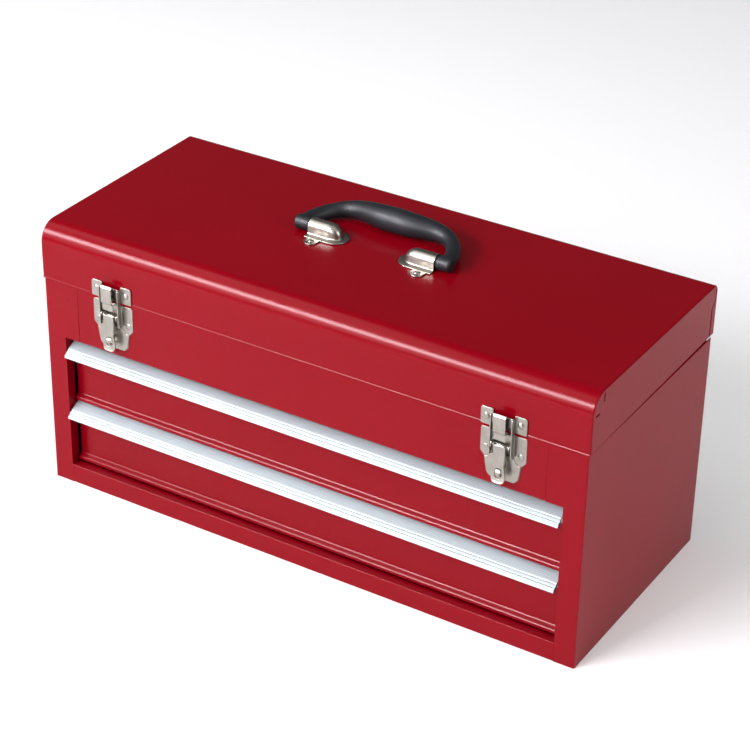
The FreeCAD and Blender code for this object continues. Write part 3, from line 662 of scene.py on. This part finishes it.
def hem(name, low, high, radius, body):
    """Rolled rim around the top of an open box."""
    level = high.z - radius
    corners = filleted([(low.x, low.y), (high.x, low.y), (high.x, high.y), (low.x, high.y)],
                       [3] * 4, True, 4)
    path = [(x, y, level) for x, y in corners + corners[:1]]
    put(name, tube(path, radius, 8), body, "red_enamel")


def make_drawers():
    """Both drawers: stepped front, pull, box with its hem, rails and the case's channels."""
    for level in ("lower", "upper"):
        body = f"drawer_{level}"
        low, high = box_mm(f"drawer_front_{level}")
        face = low.y + 3.7
        line = [(face, high.z), (face, low.z + 7), (face - 0.65, low.z + 6.11),
                (low.y + 0.65, low.z + 4.19), (low.y, low.z + 3.3), (low.y, low.z),
                (low.y + 6, low.z)]
        put(f"front_{level}",
            folded(line, [0, 0.35, 0.5, 0.5, 0.35, 1.2, 0], 1, "x", low.x, high.x),
            body, "red_enamel", f"drawer_front_{level}")
        make_pull(level, face)
        put(f"box_{level}", sheet_copy(f"drawer_box_{level}"), body, "red_enamel",
            f"drawer_box_{level}")
        low, high = box_mm(f"drawer_box_{level}")
        hem(f"box_hem_{level}", low + Vector((0.5, 0.8, 0)), high - Vector((0.5, 0.5, 0)), 0.8, body)
        for side in ("left", "right"):
            put(f"rail_{level}_{side}", sheet_copy(f"slide_rail_{level}_{side}"), body, "zinc",
                f"slide_rail_{level}_{side}")
            put(f"channel_{level}_{side}", sheet_copy(f"slide_channel_{level}_{side}"), "case",
                "zinc", f"slide_channel_{level}_{side}")


def make_pull(level, face):
    """Ribbed aluminium pull: a crowned slope, a groove and a thin lower lip."""
    low, high = box_mm(f"drawer_pull_{level}")
    nose = low.y
    lip = high.z - 11.4
    crown, lean, spread, steps = 45.2, 30.4, 12, 40
    first = math.radians(lean - spread)
    smooth = []
    for step in range(steps + 1):
        turn = math.radians(lean - spread + 2 * spread * step / steps)
        smooth.append((face - crown * (math.sin(turn) - math.sin(first)),
                       high.z - crown * (math.cos(first) - math.cos(turn))))
    smooth[-1:] = filleted([smooth[-2], (nose, smooth[-1][1] + 0.4), (nose, lip)],
                           [0, 1.5, 0], steps=8)[1:]
    walked, outer = 0, []
    pitch, groove_half = 0.16, 0.3
    grooves = ((5.6, 0.07), (7.2, 0.07), (8.8, 0.07), (12.4, 0.5), (15.6, 0.8))
    for here, there in zip(smooth, smooth[1:]):
        way = Vector(there) - Vector(here)
        steps = max(1, int(way.length / pitch))
        for step in range(steps):
            point = Vector(here) + way * step / steps
            along = walked + way.length * step / steps
            depth = sum(size * math.exp(-((along - place) / groove_half) ** 2)
                        for place, size in grooves)
            inward = Vector((-way.y, way.x)).normalized() * depth
            outer.append(tuple(point + inward))
        walked += way.length
    outer.append(smooth[-1])
    inner = [(nose + 1.1, lip), (nose + 1.1, high.z - 9.6), (nose + 7.6, high.z - 4.1),
             (face - 1.2, high.z - 1.7), (face - 1.2, low.z), (face, low.z)]
    mesh = prism(outer + inner, "x", low.x, high.x)
    put(f"pull_{level}", soft_edges(mesh, 0.15, 1, 65), f"drawer_{level}", "aluminium",
        f"drawer_pull_{level}")


# ---------------------------------------------------------------- latches


HALF_LATCH = 20.25


def make_latch_base(side, centre, pivot):
    """Pressed plate on the case with its raised middle, ears, staple, rivets, pin and springs."""
    low, high = box_mm(f"latch_base_{side}")
    face = box_mm("front_fascia")[0].y
    half, bottom, top, ear_round = HALF_LATCH, low.z, high.z, 3.3
    blank = filleted([(-half, top), (-half, 175), (-half + 3.8, 171), (-half + 6, bottom + 3.5),
                      (-half + 9.5, bottom), (half - 9.5, bottom), (half - 6, bottom + 3.5),
                      (half - 3.8, 171), (half, 175), (half, top)],
                     [1.8, 3, 3, 3, 3, 3, 3, 3, 3, 1.8], True, 5)
    raised = filleted([(-9.7, top - 0.4), (-9.7, 176), (-12.6, 171.6), (-16.4, 171.4),
                       (-13.9, bottom + 3.5), (-11, bottom + 0.5), (11, bottom + 0.5),
                       (13.9, bottom + 3.5), (16.4, 171.4), (12.6, 171.6), (9.7, 176),
                       (9.7, top - 0.4)],
                      [1, 4.5, 3, 1.4, 2.6, 2.6, 2.6, 2.6, 1.4, 3, 4.5, 1], True, 5)
    ear = filleted([(face - 0.4, pivot.z + 3.4), (pivot.y - ear_round, pivot.z + 3.4),
                    (pivot.y - ear_round, pivot.z - 3.4), (face - 0.4, pivot.z - 3.4)],
                   [0, ear_round, ear_round, 0], True)
    arch = folded([(face - 0.5, 167.2), (low.y, 167.2), (low.y, 160), (face - 0.5, 160)],
                  [0, 3.5, 3.5, 0], 1.3, "x", -2.2, 2.2, 0.3)
    pressing = joined(plate(blank, "y", face - 0.75, face, edge=0.3),
                      plate(raised, "y", face - 1.5, face - 0.4, edge=0.5),
                      plate(ear, "x", -8.3, -7.5), plate(ear, "x", 7.5, 8.3), arch)
    put(f"latch_plate_{side}", moved(pressing, centre), "case", "nickel", f"latch_base_{side}")
    heads = joined(*[rivet_head("y", (x, face - 0.7, 179), 2.8, 0.75, -1) for x in (-15.6, 15.6)])
    put(f"base_heads_{side}", moved(heads, centre), "case", "nickel", f"base_rivets_{side}")
    put(f"pivot_pin_{side}", moved(pin("x", (0, pivot.y, pivot.z), 1.5, 8.7), centre),
        "case", "nickel", f"latch_pivot_pin_{side}")
    turns, steps, coil, wire = 2.3, 52, 1.9, 0.33
    coils = []
    for way in (-1, 1):
        path = []
        for step in range(steps + 1):
            turn = math.tau * turns * step / steps - 0.4
            path.append((way * (5.7 + 1.4 * step / steps), pivot.y + coil * math.cos(turn),
                         pivot.z + coil * math.sin(turn)))
        end = Vector(path[-1])
        path += [tuple(end.lerp(Vector((way * 7.2, face - 1.9, pivot.z - 8)), part))
                 for part in (0.25, 0.5, 0.75, 1)]
        coils.append(tube(path, wire, 8))
    put(f"latch_spring_{side}", moved(joined(*coils), centre), "case", "nickel")


def make_keeper(side, centre, hitch):
    """Keeper on the lid: notched plate, hooked tongue on its neck and two rivets."""
    low, high = box_mm(f"latch_keeper_{side}")
    half, face, foot = HALF_LATCH, high.y, low.z
    rim, crest, notch, notch_floor = 200.3, 215.5, 9.4, 204.8
    outline = filleted([(-half, rim), (half, rim), (half, crest), (notch, crest), (notch, notch_floor),
                        (-notch, notch_floor), (-notch, crest), (-half, crest)],
                       [1, 1, 2, 1.4, 1.6, 1.6, 1.4, 2], True, 5)
    step_back = hitch.y - 3.6
    tongue = folded([(low.y + 1.7, 216.2), (low.y + 0.05, 214.4), (low.y, 201.2),
                     (low.y + 0.5, foot + 0.1), (step_back, foot - 1.2), (step_back, 192.8)],
                    [0, 1.8, 1, 0.5, 0.8, 0], 0.95, "x", -5.6, 5.3, 0.35)
    neck = folded([(face - 0.4, 205.3), (low.y + 0.6, 205.3)], [0, 0], 1, "x", -5.6, 5.6)
    pressing = joined(plate(outline, "y", face - 1, face, edge=0.35), tongue, neck)
    put(f"keeper_{side}", moved(pressing, centre), "lid", "nickel", f"latch_keeper_{side}")
    heads = joined(*[rivet_head("y", (x, face - 0.95, 208.2), 2.9, 1.4, -1) for x in (-15, 15)])
    put(f"keeper_heads_{side}", moved(heads, centre), "lid", "nickel", f"keeper_rivets_{side}")


def make_link(side, centre, pivot):
    """Link: two rails and the bar that catches the keeper."""
    low, high = box_mm(f"latch_link_{side}")
    rail = filleted([(low.y, low.z), (high.y, low.z), (high.y, high.z), (low.y, high.z)],
                    [2.1, 2.1, 1.2, 1.6], True)
    bar = folded([(pivot.y - 1, high.z), (pivot.y - 1, 205.5)], [0, 0], 1.2, "x", -9.2, 9.2)
    yoke = joined(plate(rail, "x", -9.9, -8.9, edge=0.3), plate(rail, "x", 8.9, 9.9, edge=0.3), bar)
    put(f"link_{side}", moved(yoke, centre), f"link_{side}", "nickel", f"latch_link_{side}")


def make_lever(side, centre, hitch):
    """Lever: waisted blade with a slot and a curled tip, two cheeks and the link's pin."""
    low, high = box_mm(f"latch_lever_{side}")
    shape = [(5.3, high.z), (5.3, 183), (4.8, 176), (4.6, 170), (5.8, 164), (6.2, 159),
             (5.2, 155.8), (2.4, low.z - 0.1)]
    outline = filleted([(-x, z) for x, z in shape] + shape[::-1],
                       [1, 6, 6, 6, 6, 4, 2.6, 2.2] + [2.2, 2.6, 4, 6, 6, 6, 6, 1], True, 5)
    blade = plate(outline, "y", low.y, low.y + 1.2, [slot_hole(3.1, 158.6, 168.4)], 0.4)
    curl_start, curl = 161.2, 0.045
    for vertex in blade.vertices:
        drop = max(0, curl_start - vertex.co.z / MM)
        vertex.co.y -= curl * drop * drop * MM
    cheek = filleted([(low.y + 0.6, high.z), (high.y, high.z), (high.y, hitch.z - 3),
                      (low.y + 0.6, hitch.z - 9)], [0.8, 1.6, 2, 0.5], True)
    pressing = joined(blade, plate(cheek, "x", -5.25, -4.4), plate(cheek, "x", 4.4, 5.25))
    put(f"lever_{side}", moved(pressing, centre), f"lever_{side}", "nickel", f"latch_lever_{side}")
    put(f"link_pin_{side}", moved(pin("x", (0, hitch.y, hitch.z), 1.2, 10.6, 1.9), centre),
        f"lever_{side}", "nickel", f"latch_link_pin_{side}")


def make_latches():
    for side in ("left", "right"):
        low, high = box_mm(f"latch_base_{side}")
        centre = (low.x + high.x) / 2
        pivot, hitch = joint_mm(f"lever_swing_{side}"), joint_mm(f"link_swing_{side}")
        make_latch_base(side, centre, pivot)
        make_keeper(side, centre, hitch)
        make_link(side, centre, pivot)
        make_lever(side, centre, hitch)


# ---------------------------------------------------------------- carrying handle


def make_handle():
    """Moulded grip that follows the loop of the frame's handle, blended into one skin."""
    pivot = joint_mm("handle_swing")
    half, reach, bow, lift, power = 69.3, 59.2, 22.5, 5.2, 1.89
    thin, thick = 6.35, 10.9

    def swell(along):
        """How far the waist of the grip has filled out, 0 at the arms and 1 in the middle."""
        fullness = min(1, max(0, (0.9 - abs(along)) / 0.84))
        return fullness * fullness * (3 - 2 * fullness)

    def place(turn):
        """A point of the loop and its fullness."""
        along = math.copysign(abs(math.sin(turn)) ** (2 / power), turn)
        out = abs(math.cos(turn)) ** (2 / power)
        return Vector((half * along, reach * out - bow * swell(along), lift * out ** 2)), swell(along)

    points = [place(math.radians(89.5 * step / 70)) for step in range(-70, 71)]
    sizes = [thin + (thick - thin) * full for _, full in points]
    loop = tube([point + pivot for point, _ in points],
                lambda part: sizes[round(part * (len(sizes) - 1))], 40)
    parts = [loop]
    left_end = box_mm("handle_bracket_left")[0].x
    right_end = box_mm("handle_bracket_right")[1].x
    for sign, near in ((-1, left_end - 0.4), (1, right_end + 0.4)):
        far = pivot.x + sign * (half + thin - 0.3)
        section = [(near, 0), (near, 5.6), (near + sign * 0.6, 6.15), (far - sign * 1.4, 6.25),
                   (far - sign * 0.4, 5.6), (far, 4.4), (far, 0)]
        parts.append(spun(section, "x", (0, pivot.y, pivot.z), 40))
        parts.append(spun([(far - sign * 12.4, 0), (far - sign * 12.2, 2.4)] + [
            (pivot.x + sign * (half + thin * math.sin(math.radians(step))),
             thin * math.cos(math.radians(step))) for step in range(-60, 90, 15)] + [
            (far + sign * 0.1, 0)], "x", (0, pivot.y, pivot.z), 40))
    skin = worked(joined(*parts), ("REMESH", {"mode": "VOXEL", "voxel_size": 0.75 * MM}),
                  ("SMOOTH", {"factor": 0.6, "iterations": 6}))
    put("grip", skin, "handle", "grip_black", "handle_grip")
    put("axles", sheet_copy("handle_axles", width=0.3), "handle", "zinc", "handle_axles")


def make_bracket(side):
    """Pressed bracket: arch over the axle that slopes down at its inner end, on a flange."""
    low, high = box_mm(f"handle_bracket_{side}")
    sign = 1 if side == "left" else -1
    outer = low.x if side == "left" else high.x
    base = low.z
    deck = base + 1.3
    middle = (low.y + high.y) / 2
    radius, rise = 6.75, high.z - deck
    full, length, margin = 16.5, 30, 12.1
    toe = length - 6.7

    def section(along):
        """Half outline across the bracket, from flange rim to crown."""
        part = min(1, max(0, (along - full) / (length - full)))
        wide = radius * (1 - part ** 2.4) ** (1 / 2.4)
        tall = rise * (1 - part ** 2.3) ** (1 / 2.3)
        rim = margin if along <= toe else math.sqrt(max(0, margin ** 2 - (along - toe) ** 2))
        wide = min(wide, rim)
        foot = min(1.5, tall * 0.5, max(0, rim - wide) * 0.9)
        crown = min(wide, tall * 0.75)
        line = [(rim, deck - 0.9), (rim, deck - 0.25), (max(rim - 0.25, 0), deck)]
        for step in range(5):
            turn = math.pi / 2 * step / 4
            line.append((wide + foot * (1 - math.sin(turn)), deck + foot * (1 - math.cos(turn))))
        for step in range(11):
            turn = math.pi / 2 * step / 10
            line.append((wide * math.cos(turn), deck + tall - crown + crown * math.sin(turn)))
        return line

    stations = [0, 0.15, 2, 6, 11, full] + [
        full + (length - full) * (step / 22) ** 0.8 for step in range(1, 23)]
    stations += [toe + margin * math.sin(math.radians(turn))
                 for turn in (38, 46, 54, 62, 70, 78, 85, 90)]
    stations = sorted(set(round(value, 3) for value in stations))
    vertices, faces = [], []
    for along in stations:
        line = section(along)
        for across, up in line + [(-across, up) for across, up in line[-2::-1]]:
            vertices.append((outer + sign * along, middle + across, up))
    count = 2 * len(section(0)) - 1
    for ring in range(len(stations) - 1):
        for step in range(count - 1):
            faces.append((ring * count + step, ring * count + step + 1,
                          (ring + 1) * count + step + 1, (ring + 1) * count + step))
    shell = fresh(vertices, faces)
    crest = max(shell.polygons, key=lambda polygon: polygon.center.z)
    if crest.normal.z < 0:
        shell.flip_normals()
    shell = worked(shell, ("SOLIDIFY", {"thickness": 0.9 * MM, "offset": -1}))
    foot_x = outer + sign * 9.5
    feet = []
    for way in (-1, 1):
        far = middle + way * (high.y - low.y) / 2
        near = middle + way * 9
        outline = filleted([(foot_x - 6.4, near), (foot_x + 6.4, near), (foot_x + 6, far),
                            (foot_x - 6, far)], [0, 0, 5.9, 5.9], True, 10)
        feet.append(plate(outline, "z", base + 0.05, deck - 0.06, edge=0.3))
    put(f"bracket_{side}", joined(shell, *feet), "lid", "nickel", f"handle_bracket_{side}")


def make_brackets():
    """Both brackets and the rivets through their feet."""
    heads = []
    for side in ("left", "right"):
        make_bracket(side)
        low, high = box_mm(f"handle_bracket_{side}")
        x = low.x + 9.5 if side == "left" else high.x - 9.5
        middle = (low.y + high.y) / 2
        for way in (-1, 1):
            heads.append(rivet_head("z", (x, middle + way * 16.5, low.z + 1.2), 2.8, 1.5, 1))
    put("bracket_heads", joined(*heads), "lid", "nickel", "bracket_rivets")


# ---------------------------------------------------------------- inside and behind


def make_inside():
    """Tray, ledges, lid stays and the piano hinge."""
    put("tray", sheet_copy("tray_pan"), "tray", "red_enamel", "tray_pan")
    low, high = box_mm("tray_pan")
    hem("tray_hem", low + Vector((0.5, 0.5, 0)), high - Vector((0.5, 0.5, 0)), 0.8, "tray")
    put("tray_plates", sheet_copy("tray_dividers"), "tray", "red_enamel", "tray_dividers")
    put("tray_bar", sheet_copy("tray_grip_bar", width=0.4), "tray", "red_enamel", "tray_grip_bar")
    for side in ("left", "right"):
        put(f"ledge_{side}", sheet_copy(f"tray_ledge_{side}"), "case", "red_enamel",
            f"tray_ledge_{side}")
        put(f"arm_{side}", sheet_copy(f"stay_arm_{side}"), f"stay_{side}", "zinc",
            f"stay_arm_{side}")
        put(f"stud_{side}", sheet_copy(f"stay_stud_{side}", width=0.3), "case", "zinc",
            f"stay_stud_{side}")
        put(f"stay_pin_{side}", sheet_copy(f"stay_pivot_{side}", width=0.3), "lid", "zinc",
            f"stay_pivot_{side}")
    for name, body in (("hinge_leaf_case", "case"), ("hinge_leaf_lid", "lid"), ("hinge_pin", "case")):
        put(f"{name}_round", sheet_copy(name), body, "zinc", name)


make_camera()
make_lights()
make_floor()
make_lid()
make_case()
make_drawers()
make_latches()
make_handle()
make_brackets()
make_inside()
